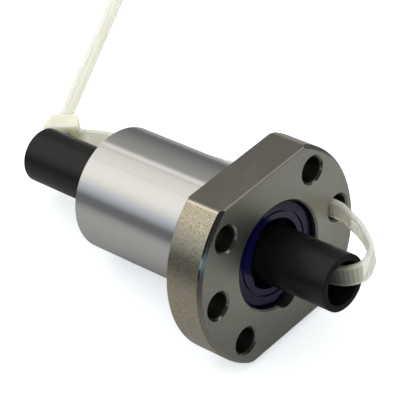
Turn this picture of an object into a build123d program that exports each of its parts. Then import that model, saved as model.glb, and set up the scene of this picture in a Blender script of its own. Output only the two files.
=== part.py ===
from build123d import *
import math
import os

# Flanged ball screw nut, held on a transport arbor by a nylon cable tie. Millimetres.
#
# The origin is on the screw axis, on the flange face that seats against the housing.
# +X runs along the screw axis and out of the front of the flange.
# +Y points to the bolt hole that the cable tie goes through.
# +Z is up, square to the two flats of the flange.

# Ball screw
SCREW_DIA = 15.5
LEAD = 10.0
BALL_DIA = 3.175
BALL_CIRCLE_DIA = 16.5
LOADED_TURNS = 2.8

# Nut body
BODY_DIA = 28.0
BODY_LENGTH = 37.0
BODY_END_CHAMFER = 0.4
RELIEF_WIDTH = 1.2
RELIEF_DEPTH = 0.25
LAND_DIA = 17.0
GROOVE_PLAY = 0.02
GROOVE_APEX_ANGLE = 6.0
GROOVE_FLATS = 3

# Flange
FLANGE_DIA = 48.0
FLANGE_WIDTH = 40.0
FLANGE_THICKNESS = 10.0
FLANGE_CHAMFER = 0.8
FLAT_BEVEL = 0.3
BOLT_EDGE_DISTANCE = 5.0
BOLT_HOLE_DIA = 5.5
BOLT_HOLE_CHAMFER = 0.6
CORNER_HOLE_ANGLE = 45.0
LUBE_PORT_DIA = 5.0
LUBE_PORT_DEPTH = 5.0
LUBE_DUCT_DIA = 2.5

# Wiper seats at both ends of the bore
SEAT_DIA = 24.0
SEAT_DEPTH = 4.5
SEAT_CHAMFER = 0.4

# Wipers
WIPER_RECESS = 1.6
WIPER_SIDE_CLEARANCE = 0.05
WIPER_EDGE_CHAMFER = 0.5
WIPER_BORE_CLEARANCE = 0.15
LIP_CLEARANCE = 0.05
FACE_GROOVE_RADIUS = 9.2
FACE_GROOVE_WIDTH = 0.45
FACE_GROOVE_DEPTH = 0.4
SCALLOP_DEPTH = 1.1

# Ball return through the body wall, and the end deflectors that feed it
RETURN_GAP = 0.325
RETURN_HOLE_DIA = 3.35
RETURN_ANGLE = -90.0
POCKET_WIDTH = 6.0
POCKET_CLEARANCE = 0.0625
DEFLECTOR_LENGTH = 9.4
DEFLECTOR_CLEARANCE = 0.05
CHANNEL_DIA = 3.5
CHANNEL_SIDES = 8
SCOOP_CLEARANCE = 0.12
TRANSFER_STIFFNESS = 1.35
BALL_SPACING = 3.32
BALL_FACET_RATIO = 1.128

# Transport arbor
ARBOR_OUTER_DIA = 12.6
ARBOR_INNER_DIA = 9.8
ARBOR_LENGTH = 89.0
ARBOR_FRONT = 27.4
ARBOR_EDGE_CHAMFER = 0.15

# Cable tie
TIE_LENGTH = 300.0
STRAP_WIDTH = 4.8
STRAP_THICKNESS = 1.1
STRAP_EDGE_BEVEL = 0.3
RUN_IN_HOLE = 0.7
BORE_RUN_OFFSET = -1.4
ROOT_STRAIGHT = 0.8
ROOT_OVERLAP = 1.0
ROOT_BEND_RADIUS = 12.0
RUN_BEND_RADIUS = 60.0
RUN_PAST_ARBOR_END = 9.1
RUN_OFF_ARBOR = 5.2
RUN_OFF_BODY = 0.9
RUN_LEVEL_BEFORE_FLANGE = 12.5
REAR_LOOP_START = 8.0
REAR_LOOP_BEND_RADII = (5.0, 20.0)
TAIL_BEND_LENGTH = 1.0
HEAD_TILT = 29.0
HEAD_CLEARANCE = 0.25
HEAD_WIDTH = 7.2
HEAD_HEIGHT = 4.9
HEAD_BASE_LENGTH = 8.7
HEAD_TOP_LENGTH = 6.5
HEAD_FAR_WALL = 1.7
HEAD_FAR_TAPER = 0.8
HEAD_EDGE_RADIUS = 0.6
SLOT_CLEARANCE = 0.2
SLOT_BEHIND_CORNER = 2.15
STRAP_ROOT_HEIGHT = 0.6
PAWL_WIDTH = 3.0
PAWL_CAVITY_LENGTH = 3.2
PAWL_CLEARANCE = 0.2
PAWL_THICKNESS = 1.4
PAWL_TOOTH_PITCH = 0.8
PAWL_TOOTH_HEIGHT = 0.35
PAWL_TEETH = 3
TAIL_TILT = 30.8
TAIL_TAPER_LENGTH = 9.0
TAIL_TIP_WIDTH = 2.4

# Worked out from the sizes above
BALL_RADIUS = BALL_DIA / 2
BALL_CIRCLE_RADIUS = BALL_CIRCLE_DIA / 2
BOLT_CIRCLE_RADIUS = FLANGE_DIA / 2 - BOLT_EDGE_DISTANCE
FRONT_FACE = FLANGE_THICKNESS
REAR_FACE = -BODY_LENGTH
MIDDLE = (FRONT_FACE + REAR_FACE) / 2
TRACK_LENGTH = LOADED_TURNS * LEAD
PICKUP_FRONT = MIDDLE + TRACK_LENGTH / 2
PICKUP_REAR = MIDDLE - TRACK_LENGTH / 2
PICKUP_ARC = (math.ceil(LOADED_TURNS) - LOADED_TURNS) * 180.0
SEAT_FLOOR = FRONT_FACE - SEAT_DEPTH
RETURN_MOUTH = SEAT_FLOOR - DEFLECTOR_LENGTH
RETURN_RADIUS = BALL_CIRCLE_RADIUS + BALL_DIA + RETURN_GAP
POCKET_RADIUS = RETURN_RADIUS + BALL_RADIUS + POCKET_CLEARANCE - POCKET_WIDTH / 2
ARBOR_REAR = ARBOR_FRONT - ARBOR_LENGTH
RUN_OFFSET = BOLT_CIRCLE_RADIUS - RUN_IN_HOLE

# Corners of the tie's front loop: past the arbor's front end, off the screw axis, bend radius
FRONT_LOOP_CORNERS = (
    (-14.0, RUN_OFFSET, 8.0),
    (-5.6, 14.9, 24.0),
    (0.4, 10.2, 6.4),
    (1.7, 5.8, 3.7),
    (-0.9, 1.9, 8.0),
    (-8.0, BORE_RUN_OFFSET, 15.0),
)
FRONT_LOOP_END = -15.0

# A local frame for turned work: its Z is the screw axis, its X is the part's +Y, its Y the part's +Z
SCREW_FRAME = Location(Plane(origin=(0, 0, 0), x_dir=(0, 1, 0), z_dir=(1, 0, 0)))


def along_screw(shape):
    """Turn a shape from the local frame of turned work into the part's frame."""
    return SCREW_FRAME * shape


def along_screw_point(point):
    """Turn a point from the local frame of turned work into the part's frame."""
    return Vector(point.Z, point.X, point.Y)


def turned(profile_points):
    """Revolve a half profile of (radius, height) points about the local Z axis."""
    half = make_face(Plane.XZ * Polyline(*profile_points, close=True))
    return revolve(half, Axis.Z, 360)


def disc(diameter, bottom, top):
    """A cylinder on the local Z axis between two heights."""
    return Pos(0, 0, bottom) * Cylinder(
        diameter / 2, top - bottom, align=(Align.CENTER, Align.CENTER, Align.MIN)
    )


def at_other_end(shape):
    """Turn a front piece half round about the part's vertical, to the same seat at the rear."""
    return shape.rotate(Axis((MIDDLE, 0, 0), (0, 0, 1)), 180)


def helix_angle(height):
    """Angle of the ball helix at a height on the screw axis, in degrees."""
    return RETURN_ANGLE - PICKUP_ARC + 360.0 * (height - PICKUP_FRONT) / LEAD


def helix_point(height):
    """Ball centre on the helix at a height, in the local frame."""
    angle = math.radians(helix_angle(height))
    return Vector(
        BALL_CIRCLE_RADIUS * math.cos(angle), BALL_CIRCLE_RADIUS * math.sin(angle), height
    )


def helical_sweep(profile, bottom, top):
    """Sweep a profile, drawn with x outward from the screw axis, along the ball helix."""
    helix = Helix(pitch=LEAD, height=top - bottom, radius=BALL_CIRCLE_RADIUS)
    start = Plane(origin=helix @ 0, x_dir=(1, 0, 0), z_dir=helix % 0)
    swept = sweep(start * profile, path=helix, is_frenet=True)
    return Pos(0, 0, bottom) * Rot(0, 0, helix_angle(bottom)) * swept


def gothic_profile():
    """Pointed-arch groove section, drawn as flats that each pass the ball with a little play."""
    mouth = -BALL_RADIUS / 4
    reach = BALL_RADIUS + GROOVE_PLAY
    mouth_angle = math.degrees(math.acos(mouth / reach))
    step = (mouth_angle - GROOVE_APEX_ANGLE) / GROOVE_FLATS
    corner_reach = reach / math.cos(math.radians(step / 2))
    angles = [math.radians(GROOVE_APEX_ANGLE + step * index) for index in range(GROOVE_FLATS + 1)]
    upper = [(corner_reach * math.cos(angle), corner_reach * math.sin(angle)) for angle in angles]
    apex = upper[0][0] + upper[0][1] * math.tan(math.radians(GROOVE_APEX_ANGLE + step / 2))
    lower = [(x, -y) for x, y in reversed(upper)]
    return make_face(Polyline((apex, 0), *upper[1:], *lower[:-1], close=True))


def return_point(height):
    """Ball centre in the return hole at a height, in the local frame."""
    angle = math.radians(RETURN_ANGLE)
    return Vector(RETURN_RADIUS * math.cos(angle), RETURN_RADIUS * math.sin(angle), height)


def transfer_curve():
    """Ball centre line from the front end of the helix to the mouth of the return hole."""
    pickup = helix_point(PICKUP_FRONT)
    radial = math.radians(helix_angle(PICKUP_FRONT))
    rise = LEAD / (2 * math.pi)
    leaving = Vector(
        -BALL_CIRCLE_RADIUS * math.sin(radial), BALL_CIRCLE_RADIUS * math.cos(radial), rise
    ).normalized()
    mouth = return_point(RETURN_MOUTH)
    above_mouth = return_point(RETURN_MOUTH + BALL_RADIUS)
    bend = Spline(
        pickup,
        above_mouth,
        tangents=[leaving, Vector(0, 0, -1)],
        tangent_scalars=[TRANSFER_STIFFNESS, TRANSFER_STIFFNESS],
    )
    return Wire([bend, Line(above_mouth, mouth)])


def transfer_channel(diameter):
    """Tube round the transfer curve."""
    curve = transfer_curve()
    section = RegularPolygon(diameter / 2, CHANNEL_SIDES, major_radius=False)
    return sweep(Plane(origin=curve @ 0, z_dir=curve % 0) * section, path=curve)


def pocket_outline(width):
    """Section of a deflector pocket: parallel sides from the bore, round at the return hole."""
    bar = Pos(POCKET_RADIUS / 2, 0) * Rectangle(POCKET_RADIUS, width)
    return Rot(0, 0, RETURN_ANGLE) * (bar + Pos(POCKET_RADIUS, 0) * Circle(width / 2))


def blank():
    """Turned outside of the nut: flange, body, end chamfers and grinding relief."""
    body = BODY_DIA / 2
    flange = FLANGE_DIA / 2
    floor = body - RELIEF_DEPTH
    return turned(
        [
            (0, REAR_FACE),
            (body - BODY_END_CHAMFER, REAR_FACE),
            (body, REAR_FACE + BODY_END_CHAMFER),
            (body, -RELIEF_WIDTH),
            (floor, -RELIEF_WIDTH + RELIEF_DEPTH),
            (floor, 0),
            (flange - FLANGE_CHAMFER, 0),
            (flange, FLANGE_CHAMFER),
            (flange, FRONT_FACE - FLANGE_CHAMFER),
            (flange - FLANGE_CHAMFER, FRONT_FACE),
            (0, FRONT_FACE),
        ]
    )


def flat_cut():
    """What the two flats take off the flange, with a thin bevel along their edges."""
    half = FLANGE_WIDTH / 2
    reach = FLANGE_DIA
    section = Polyline(
        (half - FLAT_BEVEL, 0),
        (half, FLAT_BEVEL),
        (half, FRONT_FACE - FLAT_BEVEL),
        (half - FLAT_BEVEL, FRONT_FACE),
        (reach, FRONT_FACE),
        (reach, 0),
        close=True,
    )
    above = extrude(make_face(Plane.YZ * section), reach, both=True)
    return above + Rot(0, 0, 180) * above


def bolt_hole():
    """One through hole of the flange, with both mouths chamfered."""
    radius = BOLT_HOLE_DIA / 2
    mouth = radius + BOLT_HOLE_CHAMFER
    return turned(
        [
            (0, 0),
            (mouth, 0),
            (radius, BOLT_HOLE_CHAMFER),
            (radius, FRONT_FACE - BOLT_HOLE_CHAMFER),
            (mouth, FRONT_FACE),
            (0, FRONT_FACE),
        ]
    )


def bolt_hole_angles():
    """Two holes on the part's Y axis, and a corner hole on each side of both."""
    return [
        middle + side * CORNER_HOLE_ANGLE for middle in (0.0, 180.0) for side in (-1, 0, 1)
    ]


def bore_cut():
    """Through bore with a wiper seat at each end."""
    land = LAND_DIA / 2
    seat = SEAT_DIA / 2
    front = [
        (land, SEAT_FLOOR),
        (seat, SEAT_FLOOR),
        (seat, FRONT_FACE - SEAT_CHAMFER),
        (seat + SEAT_CHAMFER, FRONT_FACE),
    ]
    rear = [(radius, 2 * MIDDLE - height) for radius, height in reversed(front)]
    return turned([(0, REAR_FACE)] + rear + front + [(0, FRONT_FACE)])


def lube_port():
    """Tapped port from the lower flat, with a duct on into the front deflector pocket."""
    port_bottom = FLANGE_WIDTH / 2 - LUBE_PORT_DEPTH
    port = Cylinder(
        LUBE_PORT_DIA / 2, LUBE_PORT_DEPTH, align=(Align.CENTER, Align.CENTER, Align.MIN)
    )
    duct = Cylinder(
        LUBE_DUCT_DIA / 2,
        FLANGE_WIDTH / 2 - RETURN_RADIUS,
        align=(Align.CENTER, Align.CENTER, Align.MIN),
    )
    drilled = Pos(0, 0, port_bottom) * port + Pos(0, 0, RETURN_RADIUS) * duct
    return Pos(0, 0, FRONT_FACE / 2) * Rot(90, 0, 0) * drilled


def return_passage():
    """Axial hole through the body wall between the two deflector pockets."""
    rear_mouth = 2 * MIDDLE - RETURN_MOUTH
    hole = disc(RETURN_HOLE_DIA, rear_mouth, RETURN_MOUTH)
    return Rot(0, 0, RETURN_ANGLE) * (Pos(RETURN_RADIUS, 0, 0) * hole)


def deflector_pocket():
    """Pocket milled in from the front face for the deflector."""
    outline = pocket_outline(POCKET_WIDTH)
    return Pos(0, 0, RETURN_MOUTH) * extrude(outline, FRONT_FACE - RETURN_MOUTH)


def nut_body():
    """Steel nut: flange and body in one piece, with the ball track and the return passage."""
    hole = Pos(BOLT_CIRCLE_RADIUS, 0, 0) * bolt_hole()
    holes = [Rot(0, 0, angle) * hole for angle in bolt_hole_angles()]
    steel = blank() - flat_cut() - holes - lube_port() - bore_cut() - return_passage()
    steel = steel - helical_sweep(gothic_profile(), 2 * MIDDLE - SEAT_FLOOR, SEAT_FLOOR)
    feed = transfer_channel(CHANNEL_DIA) & disc(SEAT_DIA, RETURN_MOUTH, SEAT_FLOOR)
    end_cut = along_screw(deflector_pocket() + feed)
    return along_screw(steel) - end_cut - at_other_end(end_cut)


def wiper():
    """Front wiper: a plastic ring whose helical lip runs in the screw's ball groove."""
    rim = SEAT_DIA / 2 - WIPER_SIDE_CLEARANCE
    hole = SCREW_DIA / 2 + WIPER_BORE_CLEARANCE
    face = FRONT_FACE - WIPER_RECESS
    groove = FACE_GROOVE_RADIUS + FACE_GROOVE_WIDTH
    ring = turned(
        [
            (hole, SEAT_FLOOR),
            (rim, SEAT_FLOOR),
            (rim, face - WIPER_EDGE_CHAMFER),
            (rim - WIPER_EDGE_CHAMFER, face),
            (groove, face),
            (groove, face - FACE_GROOVE_DEPTH),
            (FACE_GROOVE_RADIUS, face - FACE_GROOVE_DEPTH),
            (FACE_GROOVE_RADIUS, face),
            (hole, face),
        ]
    )
    lip_section = RegularPolygon(BALL_RADIUS - LIP_CLEARANCE, CHANNEL_SIDES)
    lip = helical_sweep(lip_section, SEAT_FLOOR - LEAD / 4, face + LEAD / 4)
    inside = disc(2 * hole + FACE_GROOVE_WIDTH, SEAT_FLOOR, face)
    scallop = Pos(rim - SCALLOP_DEPTH + POCKET_WIDTH / 2, 0, 0) * disc(
        POCKET_WIDTH, SEAT_FLOOR, face
    )
    return along_screw(ring + (lip & inside) - Rot(0, 0, RETURN_ANGLE) * scallop)


def deflector():
    """Front end deflector: guides balls out of the track, round a bend and into the return."""
    outline = pocket_outline(POCKET_WIDTH - 2 * DEFLECTOR_CLEARANCE)
    length = DEFLECTOR_LENGTH - 2 * DEFLECTOR_CLEARANCE
    prism = Pos(0, 0, RETURN_MOUTH + DEFLECTOR_CLEARANCE) * extrude(outline, length)
    screw_room = disc(SCREW_DIA + 2 * WIPER_BORE_CLEARANCE, RETURN_MOUTH, SEAT_FLOOR)
    scoop_section = RegularPolygon(BALL_RADIUS - SCOOP_CLEARANCE, CHANNEL_SIDES)
    groove_fill = helical_sweep(scoop_section, PICKUP_FRONT, SEAT_FLOOR - BALL_RADIUS)
    scoop = prism & groove_fill
    guide = (prism - screw_room) + scoop - transfer_channel(CHANNEL_DIA)
    return along_screw(guide.solids().sort_by(SortBy.VOLUME)[-1])


def ball():
    """One steel ball, as a many-sided solid with its corners on the ball's surface."""
    reach = BALL_RADIUS / BALL_FACET_RATIO
    solid = Box(2 * reach, 2 * reach, 2 * reach)
    steps = (-1, 0, 1)
    directions = [Vector(x, y, z) for x in steps for y in steps for z in steps]
    for normal in directions:
        if normal.length > 1:
            side = Plane(origin=normal.normalized() * reach, z_dir=normal)
            solid = split(solid, bisect_by=side, keep=Keep.BOTTOM)
    return solid


def ball_stations():
    """Ball centres round the whole circuit, grouped by where they are."""
    front = transfer_curve()
    turn_length = math.hypot(math.pi * BALL_CIRCLE_DIA, LEAD)
    loaded_length = turn_length * LOADED_TURNS
    bend_length = front.length
    return_length = RETURN_MOUTH - (2 * MIDDLE - RETURN_MOUTH)
    whole = loaded_length + 2 * bend_length + return_length
    count = math.floor(whole / BALL_SPACING)
    groups = {}
    for index in range(count):
        travel = (index + 0.5) * whole / count
        if travel < loaded_length:
            turn = math.floor(travel / turn_length) + 1
            place = along_screw_point(helix_point(PICKUP_REAR + travel / turn_length * LEAD))
            groups.setdefault(f"balls_turn_{turn}", []).append(place)
            continue
        travel -= loaded_length
        if travel < bend_length:
            place = along_screw_point(front.position_at(travel, PositionMode.LENGTH))
            groups.setdefault("balls_front_bend", []).append(place)
            continue
        travel -= bend_length
        if travel < return_length:
            place = along_screw_point(return_point(RETURN_MOUTH - travel))
            groups.setdefault("balls_return", []).append(place)
            continue
        travel -= return_length
        mirrored = along_screw_point(front.position_at(bend_length - travel, PositionMode.LENGTH))
        place = Vector(2 * MIDDLE - mirrored.X, -mirrored.Y, mirrored.Z)
        groups.setdefault("balls_rear_bend", []).append(place)
    return groups


def ball_group(places):
    """Separate balls at the given centres, in one node."""
    one = ball()
    return Compound(children=[Pos(*place) * one for place in places])


def arbor_tube():
    """Plain plastic tube that keeps the balls in place until the nut goes onto its screw."""
    outer = ARBOR_OUTER_DIA / 2
    inner = ARBOR_INNER_DIA / 2
    edge = ARBOR_EDGE_CHAMFER
    return along_screw(
        turned(
            [
                (inner, ARBOR_REAR),
                (outer - edge, ARBOR_REAR),
                (outer, ARBOR_REAR + edge),
                (outer, ARBOR_FRONT - edge),
                (outer - edge, ARBOR_FRONT),
                (inner, ARBOR_FRONT),
            ]
        )
    )


def direction(angle):
    """Unit vector in the plane of the tie, at an angle from +X."""
    return Vector(math.cos(math.radians(angle)), math.sin(math.radians(angle)), 0)


def head_frame():
    """Frame of the tie's head: origin in the slot's loop side, x to the strap's root, y outward."""
    along = direction(HEAD_TILT)
    outward = direction(HEAD_TILT + 90)
    corner = Vector(ARBOR_REAR, ARBOR_OUTER_DIA / 2, 0)
    origin = corner + outward * HEAD_CLEARANCE - along * SLOT_BEHIND_CORNER
    return Plane(origin=origin, x_dir=along, z_dir=(0, 0, 1))


def on_head(along, outward):
    """A point of the head's frame, in the part's frame."""
    return head_frame().from_local_coords(Vector(along, outward, 0))


def strap(path):
    """Sweep the strap's bevelled section along a path in the plane of the tie."""
    frame = Plane(origin=path @ 0, x_dir=(0, 0, 1), z_dir=path % 0)
    outline = Rectangle(STRAP_WIDTH, STRAP_THICKNESS)
    section = chamfer(outline.vertices(), STRAP_EDGE_BEVEL)
    return sweep(frame * section, path=path)


def bends(points, radii):
    """A polyline with tangent arcs of the given radii at its inner points."""
    return FilletPolyline(*points, radius=radii)


def outer_run_path():
    """From the head's root, past the body and through the bolt hole."""
    head_end = HEAD_BASE_LENGTH - slot_half() - HEAD_FAR_WALL
    points = [
        on_head(head_end - ROOT_OVERLAP, STRAP_ROOT_HEIGHT),
        on_head(head_end + ROOT_STRAIGHT, STRAP_ROOT_HEIGHT),
        Vector(ARBOR_REAR + RUN_PAST_ARBOR_END, ARBOR_OUTER_DIA / 2 + RUN_OFF_ARBOR),
        Vector(REAR_FACE, BODY_DIA / 2 + RUN_OFF_BODY),
        Vector(-RUN_LEVEL_BEFORE_FLANGE, RUN_OFFSET),
        Vector(FRONT_FACE, RUN_OFFSET),
    ]
    return bends(points, (ROOT_BEND_RADIUS, RUN_BEND_RADIUS, RUN_BEND_RADIUS, RUN_BEND_RADIUS))


def front_loop_path():
    """Out of the bolt hole, forward and round the arbor's front edge into its bore."""
    start = Vector(FRONT_FACE, RUN_OFFSET)
    corners = [Vector(ARBOR_FRONT + ahead, offset) for ahead, offset, _ in FRONT_LOOP_CORNERS]
    radii = [radius for _, _, radius in FRONT_LOOP_CORNERS]
    return bends([start, *corners, front_loop_end()], radii)


def front_loop_end():
    """Where the front loop passes into the straight run in the arbor's bore."""
    return Vector(ARBOR_FRONT + FRONT_LOOP_END, BORE_RUN_OFFSET)


def rear_loop_start():
    """Where the straight run in the arbor's bore passes into the rear loop."""
    return Vector(ARBOR_REAR + REAR_LOOP_START, BORE_RUN_OFFSET)


def inner_run_path():
    """Through the arbor's bore."""
    return Line(front_loop_end(), rear_loop_start())


def rear_loop_path():
    """Out of the arbor's rear, round its edge, through the head and over to the tail's slope."""
    entry = on_head(0, 0)
    exit_point = on_head(0, HEAD_HEIGHT)
    outward = direction(HEAD_TILT + 90)
    corner = entry - outward * ((entry.Y - BORE_RUN_OFFSET) / outward.Y)
    return bends([rear_loop_start(), corner, exit_point, tail_start()], REAR_LOOP_BEND_RADII)


def tail_start():
    """Centre of the strap where its free end begins, just clear of the head."""
    return on_head(0, HEAD_HEIGHT) + direction(TAIL_TILT + 90) * TAIL_BEND_LENGTH


def slot_half():
    """Half the thickness of the head's slot."""
    return STRAP_THICKNESS / 2 + SLOT_CLEARANCE


def head_block():
    """Outside of the tie's ratchet head, with rounded and chamfered edges."""
    far = -slot_half() - HEAD_FAR_WALL
    near = far + HEAD_BASE_LENGTH
    top_far = far + HEAD_FAR_TAPER
    outline = Polyline(
        (far, 0),
        (near, 0),
        (top_far + HEAD_TOP_LENGTH, HEAD_HEIGHT),
        (top_far, HEAD_HEIGHT),
        close=True,
    )
    block = extrude(make_face(outline), HEAD_WIDTH / 2, both=True)
    block = fillet(block.edges().filter_by(Axis.Z), HEAD_EDGE_RADIUS)
    for side in (block.faces().sort_by(Axis.Z)[-1], block.faces().sort_by(Axis.Z)[0]):
        block = chamfer(side.edges(), HEAD_EDGE_RADIUS / 2)
    return Location(head_frame()) * block


def tie_head():
    """Ratchet head of the tie, with its slot and the pawl's cavity."""
    slot = Box(2 * slot_half(), 3 * HEAD_HEIGHT, STRAP_WIDTH + 2 * SLOT_CLEARANCE)
    cavity = Pos(slot_half(), 0, 0) * Box(
        PAWL_CAVITY_LENGTH,
        3 * HEAD_HEIGHT,
        PAWL_WIDTH + 2 * PAWL_CLEARANCE,
        align=(Align.MIN, Align.CENTER, Align.CENTER),
    )
    return head_block() - Location(head_frame()) * (slot + cavity)


def tie_pawl():
    """Sprung tongue whose teeth hold the strap."""
    root = slot_half() + PAWL_CAVITY_LENGTH - PAWL_CLEARANCE
    face = slot_half() - PAWL_CLEARANCE / 2
    tip = HEAD_HEIGHT - PAWL_CLEARANCE
    teeth = []
    for index in range(PAWL_TEETH):
        low = tip - (index + 1) * PAWL_TOOTH_PITCH
        teeth += [(face, low + PAWL_TOOTH_PITCH), (face + PAWL_TOOTH_HEIGHT, low)]
    outline = Polyline(
        (root, PAWL_CLEARANCE),
        (root, PAWL_CLEARANCE + PAWL_THICKNESS),
        (face + PAWL_THICKNESS, tip),
        *teeth,
        close=True,
    )
    return Location(head_frame()) * extrude(make_face(outline), PAWL_WIDTH / 2, both=True)


def tie_tail():
    """Free end of the strap, straight, with its tapered tip."""
    paths = [outer_run_path(), front_loop_path(), inner_run_path(), rear_loop_path()]
    length = TIE_LENGTH - sum(path.length for path in paths)
    body = length - TAIL_TAPER_LENGTH
    half = STRAP_WIDTH / 2
    tip = TAIL_TIP_WIDTH / 2
    outline = Polyline(
        (0, -half), (body, -half), (length, -tip), (length, tip), (body, half), (0, half), close=True
    )
    along = direction(TAIL_TILT + 90)
    frame = Plane(origin=tail_start(), x_dir=along, z_dir=along.cross(Vector(0, 0, 1)))
    ribbon = extrude(make_face(outline), STRAP_THICKNESS / 2, both=True)
    return Location(frame) * ribbon


def nodes():
    """Every piece of the part by name."""
    front_wiper = wiper()
    front_deflector = deflector()
    pieces = {
        "nut_body": nut_body(),
        "front_wiper": front_wiper,
        "rear_wiper": at_other_end(front_wiper),
        "front_deflector": front_deflector,
        "rear_deflector": at_other_end(front_deflector),
        "arbor_tube": arbor_tube(),
        "tie_head": tie_head(),
        "tie_pawl": tie_pawl(),
        "tie_outer_run": strap(outer_run_path()) - head_block(),
        "tie_front_loop": strap(front_loop_path()),
        "tie_inner_run": strap(inner_run_path()),
        "tie_rear_loop": strap(rear_loop_path()),
        "tie_tail": tie_tail(),
    }
    for name, places in ball_stations().items():
        pieces[name] = ball_group(places)
    return pieces


os.makedirs("parts", exist_ok=True)
for name, piece in nodes().items():
    export_step(piece, f"parts/{name}.step")
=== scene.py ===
"""Dressed scene of a flanged ball screw nut on its transport arbor, held by a nylon cable tie.

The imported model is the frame: metres, +X along the screw axis out of the flange's front, +Y towards
the bolt hole that holds the tie, +Z square to the flange's flats. The nut lies tilted, so the floor
is a sloping plane here and the camera is turned with it.
"""

from __future__ import annotations

import logging
import math
from collections.abc import Callable
from dataclasses import dataclass, field
from enum import Enum
from typing import Any

import bmesh
import bpy
from mathutils import Matrix, Vector


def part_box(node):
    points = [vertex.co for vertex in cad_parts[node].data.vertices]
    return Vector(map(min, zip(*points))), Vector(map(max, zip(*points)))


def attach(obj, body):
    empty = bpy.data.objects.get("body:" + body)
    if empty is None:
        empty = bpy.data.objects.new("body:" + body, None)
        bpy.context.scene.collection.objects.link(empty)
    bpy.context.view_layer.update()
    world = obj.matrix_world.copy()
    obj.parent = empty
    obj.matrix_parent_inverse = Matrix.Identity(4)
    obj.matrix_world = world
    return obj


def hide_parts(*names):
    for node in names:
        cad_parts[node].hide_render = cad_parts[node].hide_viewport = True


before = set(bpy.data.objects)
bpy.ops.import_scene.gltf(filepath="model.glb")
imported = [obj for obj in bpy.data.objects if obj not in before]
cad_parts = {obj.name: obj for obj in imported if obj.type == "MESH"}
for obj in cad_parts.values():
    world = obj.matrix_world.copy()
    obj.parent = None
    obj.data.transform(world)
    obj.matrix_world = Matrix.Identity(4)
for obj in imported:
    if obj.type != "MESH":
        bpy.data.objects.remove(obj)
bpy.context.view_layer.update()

LOG = logging.getLogger("ball_nut")
MM = 0.001
DEGREES = 180 / math.pi
Colour = tuple[float, float, float]
Place = tuple[float, float, float]
Span = tuple[float, float]
BLACK: Colour = (0.0, 0.0, 0.0)
WHITE: Colour = (1.0, 1.0, 1.0)


class Shade:
    """An output socket that takes part in Python expressions as shader maths."""

    def __init__(self, graph: Graph, socket: bpy.types.NodeSocket) -> None:
        """Keep the graph and the socket."""
        self.graph = graph
        self.socket = socket

    def __add__(self, other: Shade | float) -> Shade:
        """Sum."""
        return self.graph.maths("ADD", self, other)

    __radd__ = __add__

    def __sub__(self, other: Shade | float) -> Shade:
        """Difference."""
        return self.graph.maths("SUBTRACT", self, other)

    def __rsub__(self, other: Shade | float) -> Shade:
        """Difference, the other way round."""
        return self.graph.maths("SUBTRACT", other, self)

    def __mul__(self, other: Shade | float) -> Shade:
        """Product."""
        return self.graph.maths("MULTIPLY", self, other)

    __rmul__ = __mul__

    def __pow__(self, other: Shade | float) -> Shade:
        """Power."""
        return self.graph.maths("POWER", self, other)

    def __abs__(self) -> Shade:
        """Absolute value."""
        return self.graph.maths("ABSOLUTE", self)

    def rise(self, low: float, high: float) -> Shade:
        """Smooth step from 0 at low to 1 at high.

        Args:
            low: value where the step starts.
            high: value where the step ends.

        Returns:
            The step, between 0 and 1.
        """
        return self.graph.out(
            "ShaderNodeMapRange",
            {"interpolation_type": "SMOOTHSTEP"},
            {"Value": self, "From Min": low, "From Max": high},
            "Result",
        )


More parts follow.
